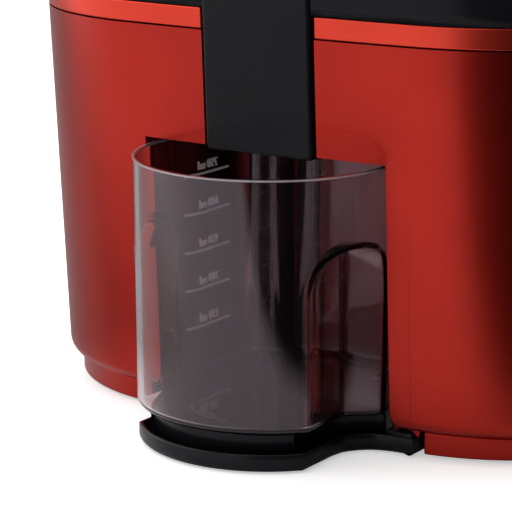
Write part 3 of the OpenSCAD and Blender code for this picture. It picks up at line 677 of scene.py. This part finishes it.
def makeRecess():
    # The bay's wall, open at the front: its plan carried straight up, with a roof.
    r = recess
    front = faceAt(r["midZ"]) + r["frontInset"]
    plan = roundCorners([(r["half"], front), (r["half"], r["back"]), (r["bulgeHalf"], r["back"]),
                         (r["bulgeHalf"], r["bulgeBack"]), (-r["bulgeHalf"], r["bulgeBack"]),
                         (-r["bulgeHalf"], r["back"]), (-r["half"], r["back"]), (-r["half"], front)],
                        [1, r["round"], 4, 5, 5, 4, r["round"], 1], 6, closed=False)
    z = np.linspace(r["low"], r["top"], 24)[:, None]
    x, y = plan[None, :, 0] + 0 * z, plan[None, :, 1] + 0 * z
    lean = np.clip((r["leanFrom"] - y) / r["leanOver"], 0, 1) * (faceAt(z) - faceAt(r["midZ"]))
    # the walls take the darker red, painted shade for the shadow in the bay
    piece = gridPiece("recessWalls", x, y + lean, z + 0 * x, material["paintedShadeRed"])
    finishShell(piece, r["thickness"], 0, offset=1.0)
    settle(piece, "housing", "recess_liner")
    roof = mouldedBlock("recessRoof", plan, [(0, r["top"] - 0.2), (0, r["top"] + r["thickness"])],
                        material["pianoBlack"])
    settle(roof, "housing")
    # the black strip, painted shade standing in for the shadow on the back wall, lies on the shoulder, the
    # step's side and the first stretch of the back
    proud, sunk = r["stripProud"], -r["stripSunk"]
    turns = [(r["stripFrom"], r["back"], 0, -1), (-r["bulgeHalf"], r["back"], 1, -1),
             (-r["bulgeHalf"], r["bulgeBack"], 1, -1), (r["stripTo"], r["bulgeBack"], 0, -1)]
    near = [(x + proud * dx, y + proud * dy) for x, y, dx, dy in turns]
    far = [(x + sunk * dx, y + sunk * dy) for x, y, dx, dy in turns]
    strip = roundCorners(near + far[::-1], 0.5, 3)
    rib = mouldedBlock("recessRib", strip, [(0, r["low"] + 4), (0, r["top"] - 0.3)], material["trayBlack"])
    settle(rib, "housing")


makeRecess()
print("recess made")

# Drip tray.
tray = {"radius": 50.4, "neck": 38.5, "endX": 63.5, "back": -36.0, "low": 0.5, "rim": 7.6, "round": 2.4,
        "wall": 2.0, "platform": 14.6, "platformInset": 5.5, "platformBack": -56.0, "platformHalf": 49.0,
        "wingFrom": 50.0, "wingTo": 62.6, "wingFront": -106.4, "wingTop": 9.2}


def trayOutline():
    # Half the outline from the front middle: an arc under the jug, a straight by the grip, then a
    # sweep to the wing.
    radius, neck, endX, back = tray["radius"], tray["neck"], tray["endX"], tray["back"]
    axisY = jug["axisY"]
    a = np.radians(np.linspace(0, math.degrees(math.asin(neck / radius)), 22))
    arc = np.stack([radius * np.sin(a), axisY - radius * np.cos(a)], axis=1)
    corner = np.array([(neck, axisY - 11.5), (neck + 1.5, axisY - 4), (46, axisY + 2.6), (54, axisY + 5.2),
                       (endX, axisY + 5.8)])
    t = np.linspace(0, 1, 8)[1:, None]
    sweep = []
    p = np.vstack([2 * corner[0] - corner[1], corner, 2 * corner[-1] - corner[-2]])
    for i in range(1, len(p) - 2):
        m0, m1 = 0.5 * (p[i + 1] - p[i - 1]), 0.5 * (p[i + 2] - p[i])
        sweep.append((2 * t ** 3 - 3 * t ** 2 + 1) * p[i] + (t ** 3 - 2 * t ** 2 + t) * m0
                     + (-2 * t ** 3 + 3 * t ** 2) * p[i + 1] + (t ** 3 - t ** 2) * m1)
    end = roundCorners([(endX, axisY + 5.8), (endX, back), (0, back)], [0, 3, 0], 4, closed=False)[1:]
    half = np.vstack([arc, corner[:1], *sweep, end])
    return np.vstack([half, (half * [-1, 1])[-2:0:-1]])


def makeTray():
    t = tray
    outline = trayOutline()
    steps = arcSteps(t["round"], t["low"] + t["round"], t["round"], -90, 0, 6)
    steps += [(0, t["rim"] - 0.6)] + arcSteps(0.7, t["rim"] - 0.7, 0.7, 10, 90, 4)
    steps += arcSteps(1.4, t["rim"] - 0.7, -0.6, -90, 0, 4) + [(t["wall"], 2.8)]
    piece = mouldedBlock("trayBody", outline, steps, material["trayBlack"])
    settle(piece, "tray", "drip_tray")
    inner = outline - t["platformInset"] * outlineNormals(outline)
    inner = inner[(inner[:, 1] < t["platformBack"]) & (np.abs(inner[:, 0]) < t["platformHalf"])]
    steps = [(0, 2.5), (0, t["platform"] - 1.2)] + arcSteps(1.2, t["platform"] - 1.2, 1.2, 10, 90, 5)
    platform = mouldedBlock("trayPlatform", inner, steps, material["trayBlack"])
    settle(platform, "tray")
    for side in (-1, 1):
        near, far = sorted((side * t["wingFrom"], side * t["wingTo"]))
        wing = roundCorners([(near, t["wingFront"]), (far, t["wingFront"]), (far, -60), (near, -60)], 1.5, 4)
        settle(mouldedBlock("trayWing_" + ("left" if side < 0 else "right"), wing,
                            [(0.4, 2.6), (0, 3.0), (0, t["wingTop"] - 0.6), (0.6, t["wingTop"])],
                            material["trayBlack"]), "tray")


makeTray()
print("tray made")

# Bowl, lid and food pusher.
top = {"axisY": 4.0, "bowl": 84.0, "bowlWall": 2.4, "bowlFloor": 174.0, "bowlRim": 206.0, "flange": 89.0,
       "flangeLow": 200.3, "flangeHigh": 203.0, "hole": 14.4, "lugX": 90.4, "lugHalf": 5.6, "lugFrom": -10.0,
       "lugTo": 18.0, "lugTop": 223.7, "spoutY": -66.0, "spout": 11.0, "spoutWall": 2.0, "spoutLow": 121.5,
       "spoutSlant": 0.3, "lidFlange": 88.0, "lidSkirt": 85.0, "lidTop": 70.0, "lidZ": 240.0, "lidWall": 2.4,
       "coneZ": 227.3, "steps": 128, "hoodGap": 2.0, "hoodSweep": 35.5, "chuteY": -16.0, "chute": 39.0,
       "chuteZ": 330.0, "fillet": 4.0, "hoodHalf": 62.0, "hoodTop": 236.5, "hoodRound": 6.0,
       "coverFrom": 102.0}


def makeBowl():
    t = top
    r, w, low, high = t["bowl"], t["bowlWall"], t["bowlFloor"], t["bowlRim"]
    below, above = t["flangeLow"], t["flangeHigh"]
    loop = [(t["hole"], low), (r - 5, low), (r - 2.4, low + 0.8), (r - 0.7, low + 2.5), (r, low + 5),
            (r, below), (t["flange"] - 0.5, below), (t["flange"], below + 0.5), (t["flange"], above - 0.5),
            (t["flange"] - 0.5, above), (r, above), (r, high - 0.5), (r - 0.5, high), (r - w + 0.5, high),
            (r - w, high - 0.5), (r - w, low + 6), (r - w - 1.2, low + 3.6), (r - w - 4, low + w),
            (t["hole"], low + w)]
    body = turned("bowlBody", loop, (0, t["axisY"], 0), material["smokeClear"], 128)
    settle(body, "housing", "juice_bowl")
    inner, outer = t["spout"] - t["spoutWall"], t["spout"]
    a = np.linspace(0, 2 * np.pi, 48, endpoint=False)
    ends = [(outer, 0), (outer, 1), (inner, 1), (inner, 0)]     # radius, and 1 at the upper end
    x = np.array([r * np.cos(a) for r, end in ends])
    y = np.array([t["spoutY"] + r * np.sin(a) for r, end in ends])
    z = np.array([(low + 0.6) + 0 * a if end else t["spoutLow"] + t["spoutSlant"] * (r * np.sin(a) + outer)
                  for r, end in ends])
    spout = finishShell(ringPiece("bowlSpout", x, y, z, material["smokeClear"]), bevel=0.4, segments=2)
    settle(spout, "housing")


def makeLid():
    # A closed band of circles: flange, skirt, cone, flat top, fillet and chute outside, then the same
    # back down inside. The hood over the bin follows, then the two lugs.
    t = top
    low = lidLow[2]
    outside = [(t["lidFlange"], low), (t["lidFlange"], low + 2.4), (t["lidFlange"] - 0.5, low + 3.0),
               (t["lidSkirt"] + 0.8, low + 3.0), (t["lidSkirt"], low + 3.8),
               (t["lidSkirt"], t["coneZ"] - 3), (t["lidSkirt"] - 0.6, t["coneZ"] - 0.6),
               (t["lidSkirt"] - 2.4, t["coneZ"] + 2), (t["lidTop"] + 4.5, t["lidZ"] - 3.9),
               (t["lidTop"] + 1.5, t["lidZ"] - 1.6), (t["lidTop"] - 3, t["lidZ"] - 0.2)]
    rings = [(t["axisY"], r, z) for r, z in outside]
    meet = t["chute"] + t["fillet"]
    for k in np.linspace(0.15, 1, 7):
        rings.append((t["axisY"] + (t["chuteY"] - t["axisY"]) * k,
                      t["lidTop"] - 3 + (meet - t["lidTop"] + 3) * k, t["lidZ"]))
    for a in np.radians(np.linspace(15, 90, 6)):
        rings.append((t["chuteY"], meet - t["fillet"] * math.sin(a),
                      t["lidZ"] + t["fillet"] * (1 - math.cos(a))))
    rings += [(t["chuteY"], t["chute"], z) for z in np.linspace(t["lidZ"] + 8, t["chuteZ"], 12)[:-1]]
    rim, inner, under = t["chuteZ"], t["chute"] - t["lidWall"], t["lidZ"] - t["lidWall"]
    mouth = [(t["chute"], rim - 0.5), (t["chute"] - 0.5, rim), (inner + 0.5, rim), (inner, rim - 0.5),
             (inner, under + 60), (inner, under)]
    rings += [(t["chuteY"], r, z) for r, z in mouth]
    for k in np.linspace(0.15, 1, 7):
        rings.append((t["chuteY"] + (t["axisY"] - t["chuteY"]) * k,
                      inner + (t["lidTop"] - 4 - inner) * k, under))
    skirt = t["lidSkirt"] - t["lidWall"]
    inside = [(t["lidTop"], under - 1.2), (skirt - 1.8, t["coneZ"] + 0.6), (skirt, t["coneZ"] - 2),
              (skirt, t["bowlRim"] + 0.6), (t["bowl"] + 0.4, t["bowlRim"] + 0.5), (t["bowl"] + 0.4, low)]
    rings += [(t["axisY"], r, z) for r, z in inside]
    a = np.linspace(0, 2 * np.pi, t["steps"], endpoint=False)
    centreY, radius, height = [column[:, None] for column in np.array(rings).T]
    dome = ringPiece("lidDome", radius * np.cos(a), centreY + radius * np.sin(a), height + 0 * a,
                     material["smokeClear"])
    settle(dome, "lid", "lid")
    half, wide, back = t["hoodHalf"], binHigh[0], binHigh[1]
    # its front edge is an arc about the bowl's axis, just clear of the bowl
    reach = t["bowl"] + t["hoodGap"]
    sweep = math.radians(t["hoodSweep"])
    front = [(reach * math.sin(v), t["axisY"] + reach * math.cos(v)) for v in np.linspace(-sweep, sweep, 9)]
    shoulder = front[0][1]
    corners = front + [(half, shoulder), (half, t["coverFrom"]), (wide, t["coverFrom"]), (wide, back),
                       (-wide, back), (-wide, t["coverFrom"]), (-half, t["coverFrom"]), (-half, shoulder)]
    plan = roundCorners(corners, [1] * len(front) + [10, 4, 13, 52, 52, 13, 4, 10], 10)
    rise = [(0, low), (0, t["hoodTop"] - t["hoodRound"])]
    rise += [(t["hoodRound"] * (1 - math.cos(a)), t["hoodTop"] - t["hoodRound"] * (1 - math.sin(a)))
             for a in np.radians(np.linspace(15, 90, 6))]
    hood = mouldedBlock("lidHood", plan, rise, material["smokeClear"], openBase=True)
    finishShell(hood, t["lidWall"], 0, even=False)
    settle(hood, "lid")
    for side in (-1, 1):
        near, far = side * t["lugX"] - t["lugHalf"], side * t["lugX"] + t["lugHalf"]
        outline = roundCorners([(near, t["lugFrom"]), (far, t["lugFrom"]), (far, t["lugTo"]),
                                (near, t["lugTo"])], 2.5, 5)
        lug = mouldedBlock("lidLug_" + ("left" if side < 0 else "right"), outline,
                           [(0.6, low), (0, low + 0.6), (0, t["lugTop"] - 1.1), (0.3, t["lugTop"] - 0.3),
                            (1.2, t["lugTop"])], material["smokeClear"])
        settle(lug, "lid")


def makePusher():
    low, high = pusherLow[2], pusherHigh[2]
    rim = top["chuteZ"] + 0.5
    profile = [(32, low), (34.4, low + 0.5), (35.5, low + 1.5), (35.9, low + 3), (35.9, rim - 0.2),
               (36.2, rim), (40, rim), (40.7, rim + 0.3), (41, rim + 1), (41, rim + 5), (40.6, rim + 5.8),
               (39.6, rim + 6.6), (36.2, high - 1.6), (35.4, high - 0.4), (34, high), (32.5, high - 0.2),
               (30, high - 1.8), (20, high - 2.6), (8, high - 2.8)]
    settle(lathe("pusherBody", profile, (0, top["chuteY"], 0), material["pianoBlack"], 112),
           "pusher", "food_pusher")


makeBowl()
makeLid()
makePusher()
print("bowl, lid and pusher made")

# Pulp bin and knob.
pulpBin = {"front": 102.0, "corner": 54.0, "wall": 2.4, "lip": 0.9}
dial = {"radius": 17.0, "ribs": 22, "ribDepth": 0.5, "y": 10.0, "z": 100.0, "skirt": 2.6}


def makeBin():
    b = pulpBin
    low, high, wide, back = binLow[2], binHigh[2], binHigh[0], binHigh[1]
    plan = roundCorners([(wide, b["front"]), (wide, back), (-wide, back), (-wide, b["front"])],
                        [4, b["corner"], b["corner"], 4], 14)
    rise = arcSteps(b["lip"] + 3.0, low + 3.0, 3.0, -90, 0, 6)
    rise += [(b["lip"], high - 9), (0, high - 7.6), (0, high - 0.6), (0.6, high), (b["wall"] - 0.6, high),
             (b["wall"], high - 0.6), (b["wall"], high - 8), (b["lip"] + b["wall"], high - 10),
             (b["lip"] + b["wall"], low + 5), (b["lip"] + b["wall"] + 2, low + b["wall"])]
    settle(mouldedBlock("binBody", plan, rise, material["satinBlack"]), "pulp_bin",
           "pulp_container")


def makeKnob():
    # a ribbed cap: radius = r - depth * cos(ribs * angle), faded out towards the face and the skirt
    d = dial
    low, high = knobLow[0], knobHigh[0]
    a = np.linspace(0, 2 * np.pi, 264, endpoint=False)
    rows = [(d["radius"] - 0.4, low, 0), (d["radius"], low + 0.4, 0), (d["radius"], low + d["skirt"], 0),
            (d["radius"] - 1.2, low + d["skirt"] + 0.8, 1), (d["radius"] - 1.8, high - 1.8, 1),
            (d["radius"] - 2.3, high - 0.6, 1), (d["radius"] - 3.2, high, 0.4), (d["radius"] - 5, high, 0),
            (d["radius"] - 6, high - 0.5, 0), (4, high - 0.5, 0)]
    r = np.array([radius - rib * d["ribDepth"] * (1 + np.cos(d["ribs"] * a)) for radius, h, rib in rows])
    x = np.array([h + 0 * a for radius, h, rib in rows])
    settle(gridPiece("knobCap", x, d["y"] + r * np.cos(a), d["z"] + r * np.sin(a), material["pianoBlack"],
                     wrap=True, capFirst=True, capLast=True), "knob", "control_knob")
    outline = roundCorners([(d["y"] - 0.8, d["z"] + 3), (d["y"] + 0.8, d["z"] + 3),
                            (d["y"] + 0.8, d["z"] + 10), (d["y"] - 0.8, d["z"] + 10)], 0.6, 4)
    settle(mouldedBlock("knobPointer", outline, [(0, high - 1.2), (0, high - 0.2), (0.2, high)],
                        material["brushedSteel"], axis="x"), "knob")


makeBin()
makeKnob()
print("bin and knob made")

# Camera, floor and light.
view = {
    "camera": (0.5118, -0.7825, 0.2934), "target": (-0.0018, 0.0, 0.0734), "lens": 174.44,
    "darkFrom": 0.10, "darkTo": 0.17,     # where the table turns dark for reflections, in metres along X
    "floorReflected": 0.95, "darkFloor": 0.01, "floorSeen": 0.92, "floorLift": 0.5, "floorSize": 6000,
    "dimLeft": (-0.06, -0.18), "dimBack": (-0.40, -0.16), "dimBy": 0.74,
    "roomDarkFrom": 0.18, "roomDarkTo": 0.29, "roomDark": 0.03,
}


def pointAt(thing, target):
    direction = Vector(target) - thing.location
    thing.rotation_euler = direction.to_track_quat("-Z", "Y").to_euler()


def makeView():
    frontY = bodyShape["frontY"] * mm
    data = bpy.data.cameras.new("camera")
    camera = bpy.data.objects.new("camera", data)
    bpy.context.scene.collection.objects.link(camera)
    x, y, z = view["camera"]
    camera.location = (x, y + frontY, z)
    data.lens = view["lens"]
    data.sensor_width = 36
    data.clip_end = 20
    x, y, z = view["target"]
    pointAt(camera, (x, y + frontY, z))
    bpy.context.scene.camera = camera
    bpy.context.scene.view_settings.view_transform = "Standard"


def makeFloor():
    # White to the eye; what reflects in the housing's right side is a dark stretch of table.
    floorMaterial = bpy.data.materials.new("floorWhite")
    floorMaterial.use_nodes = True
    nodes, links = floorMaterial.node_tree.nodes, floorMaterial.node_tree.links
    shader = nodes["Principled BSDF"]
    shader.inputs["Roughness"].default_value = 0.5
    place = nodes.new("ShaderNodeTexCoord")
    split = nodes.new("ShaderNodeSeparateXYZ")
    links.new(place.outputs["Object"], split.inputs["Vector"])
    across = nodes.new("ShaderNodeMapRange")
    across.interpolation_type = "SMOOTHSTEP"
    across.inputs["From Min"].default_value = view["darkFrom"]
    across.inputs["From Max"].default_value = view["darkTo"]
    across.inputs["To Min"].default_value = view["floorReflected"]
    across.inputs["To Max"].default_value = view["darkFloor"]
    links.new(split.outputs["X"], across.inputs["Value"])
    # the stretch of table to the left and behind is dimmer too: 1 - dim * (how far left) * (how far back)
    leftOf = nodes.new("ShaderNodeMapRange")
    leftOf.interpolation_type = "SMOOTHSTEP"
    leftOf.inputs["From Min"].default_value, leftOf.inputs["From Max"].default_value = view["dimLeft"]
    links.new(split.outputs["X"], leftOf.inputs["Value"])
    behind = nodes.new("ShaderNodeMapRange")
    behind.interpolation_type = "SMOOTHSTEP"
    behind.inputs["From Min"].default_value, behind.inputs["From Max"].default_value = view["dimBack"]
    behind.inputs["To Max"].default_value = view["dimBy"]
    links.new(split.outputs["Y"], behind.inputs["Value"])
    both = nodes.new("ShaderNodeMath")
    both.operation = "MULTIPLY"
    links.new(leftOf.outputs["Result"], both.inputs[0])
    links.new(behind.outputs["Result"], both.inputs[1])
    rest = nodes.new("ShaderNodeMath")
    rest.operation = "SUBTRACT"
    rest.inputs[0].default_value = 1.0
    links.new(both.outputs[0], rest.inputs[1])
    dimmed = nodes.new("ShaderNodeMath")
    dimmed.operation = "MULTIPLY"
    links.new(across.outputs["Result"], dimmed.inputs[0])
    links.new(rest.outputs[0], dimmed.inputs[1])
    seen = nodes.new("ShaderNodeLightPath")
    mix = nodes.new("ShaderNodeMix")
    mix.data_type = "FLOAT"
    links.new(seen.outputs["Is Camera Ray"], mix.inputs[0])
    links.new(dimmed.outputs[0], mix.inputs[2])
    mix.inputs[3].default_value = view["floorSeen"]
    links.new(mix.outputs[0], shader.inputs["Base Color"])
    lift = nodes.new("ShaderNodeMath")
    lift.operation = "MULTIPLY"
    lift.inputs[1].default_value = view["floorLift"]
    links.new(seen.outputs["Is Camera Ray"], lift.inputs[0])
    shader.inputs["Emission Color"].default_value = (1, 1, 1, 1)
    links.new(lift.outputs[0], shader.inputs["Emission Strength"])
    size = view["floorSize"]
    floor = meshPiece("floor", [(-size, -size, 0), (size, -size, 0), (size, size, 0), (-size, size, 0)],
                      [(0, 1, 2, 3)], floorMaterial, smooth=False)


def areaLight(name, place, target, size, power):
    data = bpy.data.lights.new(name, "AREA")
    data.shape = "RECTANGLE"
    data.size, data.size_y = size
    data.energy = power
    light = bpy.data.objects.new(name, data)
    bpy.context.scene.collection.objects.link(light)
    light.location = place
    pointAt(light, target)


def makeWorld():
    # An even white room, darker towards the right, as a dark screen there would make it.
    world = bpy.data.worlds.new("room")
    bpy.context.scene.world = world
    world.use_nodes = True
    nodes, links = world.node_tree.nodes, world.node_tree.links
    background = nodes["Background"]
    place = nodes.new("ShaderNodeTexCoord")
    split = nodes.new("ShaderNodeSeparateXYZ")
    links.new(place.outputs["Generated"], split.inputs["Vector"])
    across = nodes.new("ShaderNodeMapRange")
    across.interpolation_type = "SMOOTHSTEP"
    across.inputs["From Min"].default_value = view["roomDarkFrom"]
    across.inputs["From Max"].default_value = view["roomDarkTo"]
    across.inputs["To Min"].default_value = 1.0
    across.inputs["To Max"].default_value = view["roomDark"]
    links.new(split.outputs["X"], across.inputs["Value"])
    seen = nodes.new("ShaderNodeLightPath")
    mix = nodes.new("ShaderNodeMix")
    mix.data_type = "FLOAT"
    links.new(seen.outputs["Is Camera Ray"], mix.inputs[0])
    links.new(across.outputs["Result"], mix.inputs[2])
    mix.inputs[3].default_value = 1.0
    links.new(mix.outputs[0], background.inputs["Strength"])
    background.inputs["Color"].default_value = (1, 1, 1, 1)


makeView()
makeFloor()
makeWorld()
areaLight("stripLeft", (-1.3, -0.28, 0.35), (-0.05, -0.14, 0.08), (0.45, 1.0), 2.5)
areaLight("keyLeft", (-1.2, -1.1, 1.2), (0, -0.1, 0.1), (0.7, 1.2), 5)
areaLight("topSoft", (0.1, 0.2, 1.6), (0, 0, 0.1), (1.4, 1.4), 14)
print("view, floor and light made")
